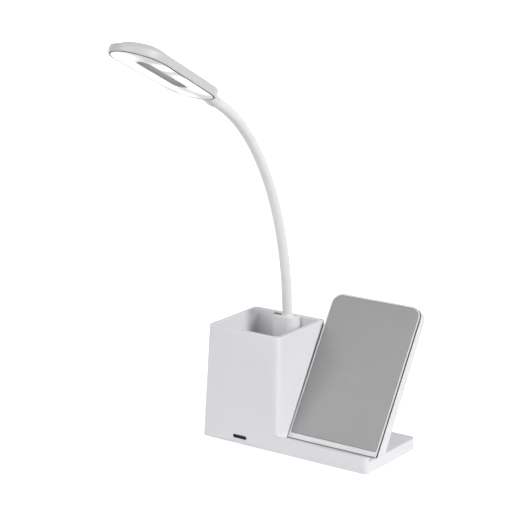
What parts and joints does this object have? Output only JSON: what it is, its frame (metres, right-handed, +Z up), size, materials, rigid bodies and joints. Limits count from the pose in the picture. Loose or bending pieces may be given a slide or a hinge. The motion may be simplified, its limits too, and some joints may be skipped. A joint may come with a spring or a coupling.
{
  "type": "desk lamp",
  "caption": "White desk lamp with a bending neck and a ring-shaped lit head, on a base with a square pen cup and a leaning charging stand for a phone.",
  "frame": {"origin": "desk level, under the middle of the base", "axes": "+Z up, -Y to the front, where the lip of the phone trough is, +X from the pen cup to the stand"},
  "size_m": [0.151, 0.2219, 0.3253],
  "materials": {
    "shell_white": "smooth satin white",
    "sleeve_white": "soft matte white",
    "diffuser_white": "milky, lit from behind",
    "pad_grey": "matte grey",
    "key_grey": "dark grey key",
    "dark_plastic": "matte black",
    "under_grey": "matte",
    "mat_rubber": "matte, anti-slip",
    "steel": "zinc plated",
    "port_steel": "bright",
    "copper": "enamelled copper",
    "board_green": "solder mask",
    "board_white": "white solder mask",
    "led_yellow": "phosphor"
  },
  "bodies": {
    "base": {"housing": "shell_white", "bottom_cover": "under_grey", "anti_slip_mat": "mat_rubber", "counterweight": "steel", "main_board": "board_green", "front_port": "port_steel", "port_tongue": "dark_plastic", "inlet_board": "board_green", "rear_inlet": "port_steel", "stand_shell": "shell_white", "stand_frame": "shell_white", "stand_pad": "pad_grey", "charging_coil": "copper", "ferrite_disc": "dark_plastic", "coil_board": "board_green", "stand_screw_left": "steel", "stand_screw_right": "steel", "touch_key": "key_grey", "touch_electrode": "copper", "neck_ferrule": "shell_white", "neck_nut": "steel", "cover_screw_1": "steel", "cover_screw_2": "steel", "cover_screw_3": "steel", "cover_screw_4": "steel", "neck_core_root": "steel", "neck_sleeve_root": "sleeve_white"},
    "low_run": {"neck_core_low": "steel", "neck_sleeve_low": "sleeve_white"},
    "middle_run": {"neck_core_middle": "steel", "neck_sleeve_middle": "sleeve_white"},
    "upper_run": {"neck_core_upper": "steel", "neck_sleeve_upper": "sleeve_white"},
    "end_run": {"neck_core_end": "steel", "neck_sleeve_end": "sleeve_white"},
    "lamp_head": {"head_cover": "shell_white", "head_socket": "shell_white", "diffuser": "diffuser_white", "led_board": "board_white", "head_screw_left": "steel", "head_screw_right": "steel", "neck_core_head": "steel", "led_01": "led_yellow", "led_02": "led_yellow", "led_03": "led_yellow", "led_04": "led_yellow", "led_05": "led_yellow", "led_06": "led_yellow", "led_07": "led_yellow", "led_08": "led_yellow", "led_09": "led_yellow", "led_10": "led_yellow"}
  },
  "joints": [
    {"name": "lower_bend", "type": "hinge", "parent": "base", "child": "low_run", "pos_m": [-0.0357, 0.02282, 0.10587], "axis": [1, 0, 0], "range_deg": [-25, 25]},
    {"name": "neck_sway", "type": "hinge", "parent": "low_run", "child": "middle_run", "pos_m": [-0.0357, 0.0207, 0.12605], "axis": [0, 1, 0], "range_deg": [-30, 30]},
    {"name": "middle_bend", "type": "hinge", "parent": "middle_run", "child": "upper_run", "pos_m": [-0.0357, 0.00549, 0.18282], "axis": [1, 0, 0], "range_deg": [-35, 35]},
    {"name": "upper_bend", "type": "hinge", "parent": "upper_run", "child": "end_run", "pos_m": [-0.0357, -0.0244, 0.23459], "axis": [1, 0, 0], "range_deg": [-35, 35]},
    {"name": "head_bend", "type": "hinge", "parent": "end_run", "child": "lamp_head", "pos_m": [-0.0357, -0.06906, 0.27089], "axis": [1, 0, 0], "range_deg": [-40, 40]}
  ]
}
